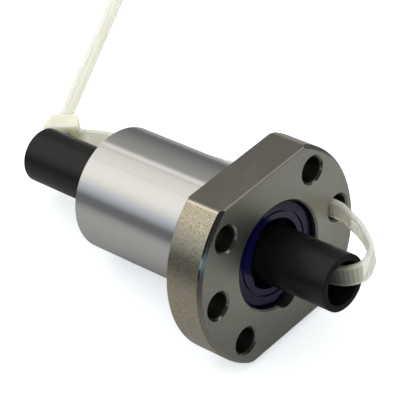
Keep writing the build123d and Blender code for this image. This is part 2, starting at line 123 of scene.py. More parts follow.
class Graph:
    """Node tree of one material or world, filled from code."""

    def __init__(self, tree: bpy.types.NodeTree) -> None:
        """Start from an empty tree."""
        self.tree = tree
        tree.nodes.clear()

    def node(self, kind: str, settings: dict[str, Any], links: dict[Any, Any]) -> bpy.types.Node:
        """Add a node, set it up and link it.

        Args:
            kind: the node's type.
            settings: properties of the node, set before its sockets.
            links: values or Shades by socket name or number.

        Returns:
            The new node.
        """
        made = self.tree.nodes.new(kind)
        for key, value in settings.items():
            setattr(made, key, value)
        for key, value in links.items():
            socket = made.inputs[key]
            if isinstance(value, Shade):
                self.tree.links.new(value.socket, socket)
            else:
                socket.default_value = value
        return made

    def out(
        self, kind: str, settings: dict[str, Any], links: dict[Any, Any], output: str | int = 0
    ) -> Shade:
        """Add a node and wrap one of its outputs."""
        return Shade(self, self.node(kind, settings, links).outputs[output])

    def maths(self, operation: str, *values: Shade | float) -> Shade:
        """Add a Math node."""
        return self.out("ShaderNodeMath", {"operation": operation}, dict(enumerate(values)))

    def mix(self, factor: Shade | float, low: Shade | Colour, high: Shade | Colour) -> Shade:
        """Mix two colours.

        Args:
            factor: share of the second colour.
            low: colour at 0.
            high: colour at 1.

        Returns:
            The mixed colour.
        """
        pair = [value if isinstance(value, Shade) else (*value, 1.0) for value in (low, high)]
        links = {0: factor, 6: pair[0], 7: pair[1]}
        return self.out("ShaderNodeMix", {"data_type": "RGBA"}, links, 2)

    def ray(self, kind: str) -> Shade:
        """1 for rays of one kind, such as Is Camera Ray, and 0 for all others."""
        return self.out("ShaderNodeLightPath", {}, {}, kind)

    def seen(self) -> Shade:
        """1 for rays from the camera, straight or through clear plastic."""
        straight = self.ray("Is Camera Ray")
        return self.maths("MAXIMUM", straight, self.ray("Is Transmission Ray"))

    def parts(self, vector: Shade) -> tuple[Shade, Shade, Shade]:
        """Split a vector into its three numbers."""
        node = self.node("ShaderNodeSeparateXYZ", {}, {0: vector})
        return tuple(Shade(self, output) for output in node.outputs)

    def stretched(self, vector: Shade, scale: Place) -> Shade:
        """Scale a place along its axes."""
        return self.out("ShaderNodeMapping", {}, {"Vector": vector, "Scale": scale})

    def noise(self, vector: Shade, scale: float, detail: float = 2.0, rough: float = 0.5) -> Shade:
        """Smooth noise around 0.5."""
        links = {"Vector": vector, "Scale": scale, "Detail": detail, "Roughness": rough}
        return self.out("ShaderNodeTexNoise", {}, links, 0)

    def bump(self, height: Shade, distance: float, strength: float = 1.0) -> Shade:
        """Surface normal from a height between 0 and 1, scaled by a distance in metres."""
        links = {"Strength": strength, "Distance": distance, "Height": height}
        return self.out("ShaderNodeBump", {}, links, 0)


def radius_of(across: Shade, up: Shade) -> Shade:
    """Distance from an axis, from the two distances square to it."""
    return (across * across + up * up) ** 0.5


class Spot:
    """The shaded point in the part's frame, in metres."""

    def __init__(self, graph: Graph) -> None:
        """Read the point."""
        self.place = graph.out("ShaderNodeTexCoord", {}, {}, "Object")
        self.x, self.y, self.z = graph.parts(self.place)

    @property
    def radius(self) -> Shade:
        """Distance from the screw axis."""
        return radius_of(self.y, self.z)


@dataclass(frozen=True)
class Finish:
    """A finish with a name; each kind builds its own nodes."""

    name: str

    def material(self) -> bpy.types.Material:
        """Build the material.

        Returns:
            The material.
        """
        made = bpy.data.materials.new(self.name)
        made.use_nodes = True
        graph = Graph(made.node_tree)
        shader = graph.out("ShaderNodeBsdfPrincipled", {}, self.sockets(graph))
        graph.node("ShaderNodeOutputMaterial", {}, {0: shader})
        return made

    def sockets(self, graph: Graph) -> dict[str, Any]:
        """Values and Shades of the main shader's sockets."""
        raise NotImplementedError


@dataclass
class SteelZones:
    """Masks of the steel's surfaces: each is 1 on its own surface and 0 on the others."""

    flange: Shade
    rim: Shade
    flat: Shade
    hole: Shade
    smooth: Shade
    paler: Shade


@dataclass
class SteelMarks:
    """Tool marks and stains of the steel, each a noise around 0.5."""

    rings: Shade
    turned: Shade
    grain: Shade
    cloud: Shade


@dataclass(frozen=True)
class GroundSteel(Finish):
    """Bearing steel: bright ground body, warm grained rim, turned front face, milled flats."""

    front_x: float = 10.0 * MM
    bolt_circle: float = 19.0 * MM
    bolt_angle: float = 45.0
    hole_radius: float = 2.75 * MM
    rim_radius: float = 24.0 * MM
    flat_z: float = 20.0 * MM
    rim_bevel: float = 0.8 * MM
    hole_bevel: float = 0.6 * MM
    seat_radius: float = 12.0 * MM
    seat_bevel: float = 0.4 * MM
    blend: float = 0.15 * MM
    hair: float = 0.03 * MM
    body_tone: Colour = (0.67, 0.665, 0.645)
    face_tone: Colour = (0.48, 0.478, 0.425)
    flat_tone: Colour = (0.262, 0.258, 0.232)
    rim_tone: Colour = (0.57, 0.51, 0.376)
    # Painted highlight: the pale colour of the flats' front edges and the rim's corners.
    edge_highlight_tone: Colour = (0.80, 0.76, 0.64)
    # Painted shade: the nearly black colour of the bolt holes' walls.
    hole_painted_shade: Colour = (0.06, 0.055, 0.045)
    speck_tone: Colour = (0.17, 0.155, 0.125)
    cloud_tone: Colour = (0.36, 0.34, 0.30)
    corner_highlight_share: float = 0.55
    cloud_share: float = 0.3
    # Painted shade: how much darker the bevels are made.
    bevel_painted_shade: float = 0.2
    body_rough: float = 0.13
    flange_rough: float = 0.21
    rim_polish: float = 0.22
    bevel_polish: float = 0.2
    hole_rough: float = 0.43
    relief: float = 0.012 * MM

    def from_hole(self, graph: Graph, spot: Spot) -> Shade:
        """Distance from the axis of the nearest of the six bolt holes.

        Args:
            graph: the material's graph.
            spot: the shaded point.

        Returns:
            The distance, in metres.
        """
        turn = graph.maths("ARCTAN2", abs(spot.z), abs(spot.y)) * DEGREES
        nearest = turn.rise(self.bolt_angle / 2 - 0.01, self.bolt_angle / 2 + 0.01)
        middle = math.radians(self.bolt_angle)
        off_y = abs(spot.y) - self.bolt_circle * (1 + nearest * (math.cos(middle) - 1))
        off_z = abs(spot.z) - self.bolt_circle * math.sin(middle) * nearest
        return radius_of(off_y, off_z)

    def bevels(self, spot: Spot, off_hole: Shade) -> Shade:
        """Mask of the smooth turned bevels of the rim, the bolt holes and the wiper's seat.

        Args:
            spot: the shaded point.
            off_hole: distance from the nearest bolt hole's axis.

        Returns:
            1 on the bevels, 0 on the rest of the steel.
        """
        ridge = self.front_x + self.rim_radius - self.rim_bevel
        rim = 1 - abs(spot.x + spot.radius - ridge).rise(self.hair, 2 * self.hair)
        mouth = self.hole_radius + self.hole_bevel
        holes = 1 - off_hole.rise(mouth - self.hair, mouth)
        seat = self.seat_radius + self.seat_bevel
        return rim + holes + 1 - spot.radius.rise(seat - self.hair, seat)

    def zones(self, graph: Graph, spot: Spot) -> SteelZones:
        """Tell the machined surfaces apart by their place.

        Args:
            graph: the material's graph.
            spot: the shaded point.

        Returns:
            The masks.
        """
        up = abs(spot.z)
        rim = spot.radius.rise(self.rim_radius - 2 * self.blend, self.rim_radius - self.blend)
        flat = up.rise(self.flat_z - self.blend, self.flat_z - self.blend / 3)
        flange = spot.x.rise(-2 * self.blend, -self.blend)
        off_hole = self.from_hole(graph, spot)
        wall = self.hole_radius + self.blend / 3
        smooth = graph.maths("MINIMUM", self.bevels(spot, off_hole), 1.0)
        ahead = spot.x.rise(self.front_x - 3 * self.blend, self.front_x - 2 * self.blend)
        corner = rim * up.rise(self.flat_z - 2.4 * self.blend, self.flat_z - 1.6 * self.blend)
        return SteelZones(
            flange=flange,
            rim=rim,
            flat=flat,
            hole=(1 - off_hole.rise(wall, 2 * self.blend + wall)) * flange,
            smooth=smooth * flange,
            # The flats' front edges and the rim-flat corner, where the painted highlight goes.
            paler=graph.maths("MAXIMUM", flat * ahead, self.corner_highlight_share * corner),
        )

    def marks(self, graph: Graph, spot: Spot) -> SteelMarks:
        """Make the marks that the tools left.

        Args:
            graph: the material's graph.
            spot: the shaded point.

        Returns:
            The grinding rings, the turned rings, the grain and the stains.
        """
        links = {0: spot.radius * 5000, 1: spot.x * 5000}
        turned = graph.out("ShaderNodeCombineXYZ", {}, links)
        return SteelMarks(
            rings=graph.noise(graph.stretched(spot.place, (7000, 60, 60)), 1.0, 3.0),
            turned=graph.noise(turned, 1.0, 2.0),
            grain=graph.noise(spot.place, 3400, 4.0, 0.75),
            cloud=graph.noise(spot.place, 110, 3.0),
        )

    def tone(self, graph: Graph, zones: SteelZones, marks: SteelMarks) -> Shade:
        """Colour of each surface, with dark specks and stains, a painted highlight on the flats'
        front edges and the rim's corners, and painted shade on the bevels and in the bolt holes.

        Args:
            graph: the material's graph.
            zones: masks of the surfaces.
            marks: the tool marks and stains.

        Returns:
            The colour.
        """
        tone = graph.mix(zones.rim, self.face_tone, self.rim_tone)
        tone = graph.mix(zones.flat, tone, self.flat_tone)
        specks = (1 - marks.grain.rise(0.38, 0.6)) * (0.2 + 0.5 * zones.rim + 0.5 * zones.flat)
        tone = graph.mix(specks, tone, self.speck_tone)
        tone = graph.mix(self.cloud_share * marks.cloud.rise(0.45, 0.7), tone, self.cloud_tone)
        # Painted highlight on the flats' front edges and the rim's corners.
        tone = graph.mix(zones.paler, tone, self.edge_highlight_tone)
        # Painted shade on the bevels, for a dimmer reflection there.
        tone = graph.mix(self.bevel_painted_shade * zones.smooth, tone, BLACK)
        tone = graph.mix(zones.flange, self.body_tone, tone)
        # Painted shade in the bolt holes.
        return graph.mix(zones.hole, tone, self.hole_painted_shade)

    def roughness(self, zones: SteelZones, marks: SteelMarks) -> Shade:
        """Roughness: bright body and bevels, duller flange, matt holes.

        Args:
            zones: masks of the surfaces.
            marks: the tool marks and stains.

        Returns:
            The roughness.
        """
        flange = self.flange_rough + 0.1 * marks.grain + 0.05 * marks.turned
        flange = flange - self.rim_polish * zones.rim
        rough = self.body_rough + 0.05 * marks.rings + zones.flange * flange
        return rough - self.bevel_polish * zones.smooth + self.hole_rough * zones.hole

    def height(self, zones: SteelZones, marks: SteelMarks) -> Shade:
        """Relief: faint rings on the body, grain and turned rings on the flange.

        Args:
            zones: masks of the surfaces.
            marks: the tool marks and stains.

        Returns:
            The height, from 0 to 1.
        """
        grain = marks.grain * (0.35 + 0.65 * zones.rim + 0.9 * zones.flat)
        flange = (grain + 0.3 * marks.turned) * (1 - 0.8 * zones.smooth)
        return (1 - zones.flange) * marks.rings * 0.12 + zones.flange * flange

    def sockets(self, graph: Graph) -> dict[str, Any]:
        """Ground rings on the body, grain on the rim, fine turned rings on the front face.

        Args:
            graph: the material's graph.

        Returns:
            Values and Shades by socket name.
        """
        spot = Spot(graph)
        zones = self.zones(graph, spot)
        marks = self.marks(graph, spot)
        return {
            "Base Color": self.tone(graph, zones, marks),
            "Metallic": 1.0,
            "Roughness": self.roughness(zones, marks),
            "Normal": graph.bump(self.height(zones, marks), self.relief, 0.5),
        }


@dataclass(frozen=True)
class PolishedSteel(Finish):
    """Mirror polished chrome steel of the balls."""

    tone: Colour = (0.72, 0.73, 0.74)
    mark_tone: Colour = (0.60, 0.60, 0.60)

    def sockets(self, graph: Graph) -> dict[str, Any]:
        """Nearly a mirror, with faint handling marks."""
        marks = graph.noise(Spot(graph).place, 900, 2.0)
        return {
            "Base Color": graph.mix(0.2 * marks, self.tone, self.mark_tone),
            "Metallic": 1.0,
            "Roughness": 0.06 + 0.05 * marks,
        }


@dataclass(frozen=True)
class MouldedPlastic(Finish):
    """Opaque moulded or machined plastic with a fine grain."""

    tone: Colour
    paler: Colour
    rough: float = 0.4
    rough_spread: float = 0.12
    grain: float = 1800.0
    depth: float = 0.01 * MM
    along: Place = (1.0, 1.0, 1.0)
    sheen: float = 0.5
    sawn_from: float = 1.0
    sawn_edge: float = 0.04 * MM
    sawn_rough: float = 0.4

    def sockets(self, graph: Graph) -> dict[str, Any]:
        """Fine grain, a slight change of tone and a dull sawn end.

        Args:
            graph: the material's graph.

        Returns:
            Values and Shades by socket name.
        """
        spot = Spot(graph)
        grain = graph.noise(graph.stretched(spot.place, self.along), self.grain, 3.0, 0.6)
        cloud = graph.noise(spot.place, 160, 2.0)
        sawn = spot.x.rise(self.sawn_from - self.sawn_edge, self.sawn_from)
        rough = self.rough + self.rough_spread * (grain - 0.5)
        return {
            "Base Color": graph.mix(cloud.rise(0.4, 0.75), self.tone, self.paler),
            "Roughness": rough + self.sawn_rough * sawn,
            "Specular IOR Level": self.sheen,
            "Normal": graph.bump(grain, self.depth, 0.5),
        }


@dataclass(frozen=True)
class NaturalNylon(Finish):
    """Cloudy natural nylon that lets light through."""

    tone: Colour = (0.92, 0.905, 0.72)
    deep: Colour = (0.87, 0.85, 0.63)
    reach: float = 2.5 * MM
    bleed: Colour = (1.0, 0.95, 0.7)
    rough: float = 0.34
    skin_depth: float = 0.006 * MM

    def sockets(self, graph: Graph) -> dict[str, Any]:
        """Cloudy tone, satin skin.

        Args:
            graph: the material's graph.

        Returns:
            Values and Shades by socket name.
        """
        spot = Spot(graph)
        cloud = graph.noise(spot.place, 220, 3.0).rise(0.35, 0.75)
        skin = graph.noise(spot.place, 2400, 2.0)
        tone = graph.mix(self.veil(graph, cloud), self.tone, self.deep)
        return {
            "Base Color": self.with_painted_shade(graph, spot, tone),
            "Roughness": self.rough + 0.1 * skin,
            "Subsurface Weight": 1.0,
            "Subsurface Radius": self.bleed,
            "Subsurface Scale": self.reach,
            "Alpha": self.cover(graph, spot),
            "Normal": graph.bump(skin, self.skin_depth, 0.4),
        }

    def veil(self, graph: Graph, cloud: Shade) -> Shade:
        """Where the deeper tone shows."""
        return cloud

    def with_painted_shade(self, graph: Graph, spot: Spot, tone: Shade) -> Shade:
        """The tone with painted shade; plain nylon gets none."""
        return tone

    def cover(self, graph: Graph, spot: Spot) -> Shade | float:
        """How much of what lies behind one skin of the piece is covered."""
        return 1.0


@dataclass(frozen=True)
class ToothedNylon(NaturalNylon):
    """Nylon with painted shade in soft bands across the strap, for the teeth on the far side seen
    through it.
    """

    tone: Colour = (0.87, 0.86, 0.72)
    deep: Colour = (0.82, 0.81, 0.65)
    reach: float = 3.0 * MM
    bands: str = "teeth_along"
    cloud_share: float = 0.5
    # Share of the painted shade at the tooth roots in the deeper tone.
    teeth_shade_share: float = 0.3
    channel: float = 1.75 * MM
    channel_edge: float = 0.1 * MM
    rail_cover: float = 0.70
    channel_thin: float = 0.15
    plain_teeth: float = 18.0
    plain_fade: float = 3.0
    # Painted shade: the dark tone of the strap's run inside the arbor's bore.
    bore_shade_tone: Colour = (0.05, 0.065, 0.07)
    bore_shade_share: float = 0.85
    bore_from: float = 5.4 * MM
    bore_full: float = 0.5 * MM

    def teeth(self, graph: Graph) -> Shade:
        """Mask of the teeth.

        Args:
            graph: the material's graph.

        Returns:
            1 at the roots of the teeth, 0 at their crests and on the plain stretch at the head.
        """
        along = graph.out("ShaderNodeAttribute", {"attribute_name": self.bands}, {}, "Fac")
        phase = abs(graph.maths("FRACT", along) - 0.5) * 2
        toothed = along.rise(self.plain_teeth, self.plain_teeth + self.plain_fade)
        return (1 - phase.rise(0.15, 0.75)) * toothed

    def veil(self, graph: Graph, cloud: Shade) -> Shade:
        """Painted shade in soft bands at the tooth roots, for the teeth seen through the strap, on
        the cloudy tone.
        """
        return self.cloud_share * cloud + self.teeth_shade_share * self.teeth(graph)

    def with_painted_shade(self, graph: Graph, spot: Spot, tone: Shade) -> Shade:
        """Painted shade: the run inside the arbor takes the dark tone of the black bore around it."""
        outside = spot.y.rise(self.bore_full, self.bore_from)
        return graph.mix(self.bore_shade_share * (1 - outside), tone, self.bore_shade_tone)

    def cover(self, graph: Graph, spot: Spot) -> Shade | float:
        """Thick rails at the sides, thin and banded between them.

        Args:
            graph: the material's graph.
            spot: the shaded point.

        Returns:
            How much of what lies behind one skin of the strap is covered.
        """
        low, high = self.channel - self.channel_edge, self.channel + self.channel_edge
        thin = self.channel_thin * (1 + self.teeth(graph))
        return self.rail_cover - (1 - abs(spot.z).rise(low, high)) * thin


@dataclass
class Studio:
    """Floor, lamp, world and camera."""

    floor_height: float = -20.0 * MM
    floor_slope: float = -0.165
    floor_size: float = 3.0
    floor_tone: Colour = (0.85, 0.85, 0.85)
    glow_tone: Colour = (0.9223, 0.9709, 1.0)
    glow_near: float = 0.5356
    glow_away: float = 0.309
    middle_x: float = -13.0 * MM
    # Extent of the painted pool of light in the reflected floor, also where the floor's glow rises.
    near_radius: float = 40 * MM
    far_radius: float = 170 * MM
    reflected_pool_tone: Colour = (0.47, 0.47, 0.47)
    reflected_shade_front: Colour = (0.35, 0.35, 0.35)
    reflected_highlight_ahead: Colour = (0.90, 0.90, 0.88)
    reflected_far_tone: Colour = (0.145, 0.15, 0.165)
    sky_low: Colour = (0.90, 0.91, 0.92)
    sky_high: Colour = (0.96, 0.96, 0.95)
    box_start: Span = (60.0, 65.0)
    box_end: Span = (126.0, 175.0)
    box_back: Span = (-1.0, -0.85)
    box_front: Span = (0.2, 0.6)
    box_level: float = 0.90
    seams: tuple[Span, ...] = ((73.0, 1.0), (100.0, 0.4))
    seam_width: float = 2.0
    seam_dark: float = 0.45
    box_warm: Colour = (1.0, 0.985, 0.95)
    box_cool: Colour = (0.82, 0.95, 1.2)
    side_low: Colour = (0.19, 0.20, 0.21)
    side_high: Colour = (0.40, 0.395, 0.38)
    horizon_angle: float = 178.0
    horizon_tone: Colour = (0.08, 0.085, 0.09)
    room_tone: Colour = (0.045, 0.046, 0.05)
    window_tone: Colour = (0.55, 0.80, 1.0)
    window_height: float = 0.07
    lightbox_tone: Colour = (0.95, 0.90, 0.78)
    lamp_place: Place = (-0.37, -0.13, 0.4536)
    lamp_size: Span = (0.8, 0.6)
    lamp_power: float = 0.7
    camera_place: Place = (0.27297, -0.24189, 0.27614)
    camera_right: Place = (0.7248, 0.6693, -0.1635)
    camera_up: Place = (-0.3062, 0.5255, 0.7938)
    camera_back: Place = (0.6172, -0.5253, 0.5858)
    camera_lens: float = 195.9

    def build(self) -> None:
        """Make the floor, the world, the lamp and the camera."""
        self.floor()
        self.world()
        self.softbox()
        self.camera()

    def floor(self) -> None:
        """Pale sloping plane that the nut's two lowest edges touch."""
        bpy.ops.object.select_all(action="DESELECT")
        tilt = math.atan(-self.floor_slope)
        bpy.ops.mesh.primitive_plane_add(
            size=self.floor_size, location=(0, 0, self.floor_height), rotation=(0, tilt, 0)
        )
        floor = bpy.context.active_object
        floor.name = "floor"
        bpy.ops.object.transform_apply(location=True, rotation=True, scale=True)
        made = bpy.data.materials.new("pale_floor")
        made.use_nodes = True
        graph = Graph(made.node_tree)
        spot = Spot(graph)
        away = radius_of(spot.x - self.middle_x, spot.y).rise(self.near_radius, self.far_radius)
        reflected_floor = self.reflected_floor(graph, spot, away)
        # Glossy rays alone see the painted light of the reflected floor.
        tone = graph.mix(graph.ray("Is Glossy Ray"), self.floor_tone, reflected_floor)
        matt = graph.out("ShaderNodeBsdfDiffuse", {}, {"Color": tone})
        level = graph.seen() * (self.glow_near + self.glow_away * away)
        links = {"Color": (*self.glow_tone, 1), "Strength": level}
        glow = graph.out("ShaderNodeEmission", {}, links)
        shade = graph.out("ShaderNodeAddShader", {}, {0: matt, 1: glow})
        graph.node("ShaderNodeOutputMaterial", {}, {0: shade})
        floor.data.materials.append(made)

    def reflected_floor(self, graph: Graph, spot: Spot, away: Shade) -> Shade:
        """What polished steel sees of the floor: painted light, a grey pool round the nut with a
        painted highlight ahead of it and painted shade just in front of the face, darkening far away.

        Args:
            graph: the floor's graph.
            spot: the shaded point.
            away: 0 near the nut and 1 far from it.

        Returns:
            The colour.
        """
        ahead = spot.x.rise(15 * MM, 50 * MM) * spot.y.rise(-10 * MM, 20 * MM)
        reflected_floor = graph.mix(spot.x.rise(10 * MM, 14 * MM), self.reflected_pool_tone, self.reflected_shade_front)
        reflected_floor = graph.mix(ahead, reflected_floor, self.reflected_highlight_ahead)
        reflected_floor = graph.mix(away, reflected_floor, self.reflected_far_tone)
        return graph.mix(0.1 * graph.noise(spot.place, 40, 2.0), reflected_floor, (0.5, 0.5, 0.5))

    def world(self) -> None:
        """White to the camera, even soft light on the object, and the studio in the steel."""
        world = bpy.data.worlds.new("room")
        world.use_nodes = True
        world.cycles.sampling_method = "NONE"
        bpy.context.scene.world = world
        graph = Graph(world.node_tree)
        way = graph.out("ShaderNodeTexCoord", {}, {}, "Generated")
        even = graph.mix(graph.parts(way)[2].rise(-0.3, 0.8), self.sky_low, self.sky_high)
        tone = graph.mix(graph.ray("Is Glossy Ray"), even, self.studio(graph, way))
        tone = graph.mix(graph.seen(), tone, WHITE)
        back = graph.out("ShaderNodeBackground", {}, {"Color": tone, "Strength": 1.0})
        graph.node("ShaderNodeOutputWorld", {}, {0: back})

    def studio(self, graph: Graph, way: Shade) -> Shade:
        """What polished steel sees: a wide softbox overhead in a dim room.

        Args:
            graph: the world's graph.
            way: direction of the ray.

        Returns:
            The colour in that direction.
        """
        x, y, z = graph.parts(way)
        around = graph.maths("ARCTAN2", z, y) * DEGREES
        lit = around.rise(*self.box_start) * (1 - around.rise(*self.box_end))
        lit = lit * x.rise(*self.box_back) * (1 - x.rise(*self.box_front))
        return graph.mix(lit, self.room(graph, way, around), self.overhead(graph, around))

    def overhead(self, graph: Graph, around: Shade) -> Shade:
        """The softbox: brighter at its far side, with two seams, warm turning to cool.

        Args:
            graph: the world's graph.
            around: angle about the screw axis, from +Y towards +Z, in degrees.

        Returns:
            The colour of the softbox.
        """
        seams = sum(
            share * (1 - abs(around - angle).rise(0.0, self.seam_width))
            for angle, share in self.seams
        )
        level = self.box_level + 0.25 * around.rise(66, 122) - self.seam_dark * seams
        level = level + 0.2 * (1 - around.rise(68, 73))
        tint = graph.mix(around.rise(140, 160), self.box_warm, self.box_cool)
        return graph.out("ShaderNodeVectorMath", {"operation": "SCALE"}, {0: tint, "Scale": level})

    def room(self, graph: Graph, way: Shade, around: Shade) -> Shade:
        """The room round the softbox: side walls, a dark horizon, a window and a lightbox.

        Args:
            graph: the world's graph.
            way: direction of the ray.
            around: angle about the screw axis, from +Y towards +Z, in degrees.

        Returns:
            The colour of the room.
        """
        x, y, z = graph.parts(way)
        side = graph.mix(around.rise(0, 60), self.side_low, self.side_high)
        horizon = (1 - abs(around - self.horizon_angle).rise(5, 20)) * 0.8
        side = graph.mix(horizon, side, self.horizon_tone)
        room = graph.mix(x.rise(*self.box_front), side, self.room_tone)
        band = 1 - abs(z - self.window_height).rise(0.02, 0.10)
        window = band * x.rise(0.5, 0.65) * (1 - y.rise(-0.6, -0.45))
        room = graph.mix(window, room, self.window_tone)
        lightbox = x.rise(0.4, 0.5) * y.rise(0.36, 0.46) * z.rise(0.46, 0.54)
        return graph.mix(lightbox, room, self.lightbox_tone)

    def softbox(self) -> None:
        """One rectangular lamp that faces the nut; the world already shows it in the steel."""
        data = bpy.data.lights.new("softbox", "AREA")
        data.shape = "RECTANGLE"
        data.size, data.size_y = self.lamp_size
        data.energy = self.lamp_power
        lamp = bpy.data.objects.new("softbox", data)
        bpy.context.scene.collection.objects.link(lamp)
        lamp.location = self.lamp_place
        lamp.rotation_euler = (-Vector(self.lamp_place)).to_track_quat("-Z", "Y").to_euler()
        lamp.visible_glossy = False

    def camera(self) -> None:
        """Camera fitted to the photograph."""
        data = bpy.data.cameras.new("camera")
        data.lens = self.camera_lens
        data.sensor_width = 36.0
        data.clip_end = 10.0
        camera = bpy.data.objects.new("camera", data)
        bpy.context.scene.collection.objects.link(camera)
        turn = Matrix((self.camera_right, self.camera_up, self.camera_back)).transposed()
        camera.matrix_world = Matrix.Translation(self.camera_place) @ turn.to_4x4()
        bpy.context.scene.camera = camera


class Part(Enum):
    """What an edit picks: its list in the mesh and its selection mode."""

    POINTS = ("verts", "VERT")
    EDGES = ("edges", "EDGE")
    FACES = ("faces", "FACE")


class Bench:
    """A piece on the bench, shaped in edit mode as by hand."""

    def __init__(self, name: str, middle: Place, size: Place) -> None:
        """Start from a block.

        Args:
            name: the piece's name.
            middle: the block's centre.
            size: its three lengths.
        """
        bpy.ops.object.select_all(action="DESELECT")
        bpy.ops.mesh.primitive_cube_add(size=1, location=middle, scale=size)
        self.piece = bpy.context.active_object
        self.piece.name = name
        self.piece.data.name = name
        bpy.ops.object.transform_apply(location=True, rotation=True, scale=True)

    def pick(self, part: Part, test: Callable[[Any], bool]) -> None:
        """Select what passes a test, and nothing else.

        Args:
            part: points, edges or faces.
            test: tells for each whether it is picked.
        """
        items, mode = part.value
        bpy.ops.object.mode_set(mode="EDIT")
        bpy.ops.mesh.select_mode(type=mode)
        bpy.ops.mesh.select_all(action="DESELECT")
        mesh = bmesh.from_edit_mesh(self.piece.data)
        for item in getattr(mesh, items):
            if test(item):
                item.select_set(True)
        bmesh.update_edit_mesh(self.piece.data)

    def cut(self, place: Place, normal: Place, keep_back: bool = False) -> None:
        """Cut the whole piece with a plane.

        Args:
            place: a point of the plane.
            normal: the plane's normal.
            keep_back: drop what lies in front of the plane, and close the cut.
        """
        bpy.ops.object.mode_set(mode="EDIT")
        bpy.ops.mesh.select_all(action="SELECT")
        bpy.ops.mesh.bisect(
            plane_co=place,
            plane_no=Vector(normal).normalized(),
            clear_outer=keep_back,
            use_fill=keep_back,
            threshold=0.001 * MM,
        )

    def open_ends(self) -> None:
        """Delete the faces square to X."""
        self.pick(Part.FACES, lambda face: abs(face.normal.x) > 0.9)
        bpy.ops.mesh.delete(type="FACE")

    def extrude(self, move: Place) -> None:
        """Extrude the picked faces along a move."""
        bpy.ops.mesh.extrude_region_move(TRANSFORM_OT_translate={"value": move})

    def move(self, move: Place) -> None:
        """Move what is picked."""
        bpy.ops.transform.translate(value=move)

    def round_edges(self, reach: float, segments: int) -> None:
        """Round the picked edges."""
        bpy.ops.mesh.bevel(offset=reach, segments=segments, affect="EDGES")

    def close_rim(self, test: Callable[[Any], bool]) -> None:
        """Close an open rim with one face."""
        self.pick(Part.EDGES, lambda edge: edge.is_boundary and test(edge))
        bpy.ops.mesh.edge_face_add()

    def modify(self, kind: str, settings: dict[str, Any]) -> None:
        """Add a modifier, set it up and apply it.

        Args:
            kind: the modifier's type.
            settings: its properties.
        """
        bpy.ops.object.mode_set(mode="OBJECT")
        modifier = self.piece.modifiers.new(kind.lower(), kind)
        for key, value in settings.items():
            setattr(modifier, key, value)
        bpy.ops.object.modifier_apply(modifier=modifier.name)

    def finished(self, angle: float = 30.0) -> bpy.types.Object:
        """Make the normals point out, smooth what is round and hand the piece over.

        Args:
            angle: the sharpest turn that is still smoothed, in degrees.

        Returns:
            The piece.
        """
        bpy.ops.object.mode_set(mode="EDIT")
        bpy.ops.mesh.select_all(action="SELECT")
        bpy.ops.mesh.normals_make_consistent(inside=False)
        bpy.ops.object.mode_set(mode="OBJECT")
        bpy.ops.object.shade_smooth_by_angle(angle=math.radians(angle))
        LOG.info("%s: %d faces", self.piece.name, len(self.piece.data.polygons))
        return self.piece


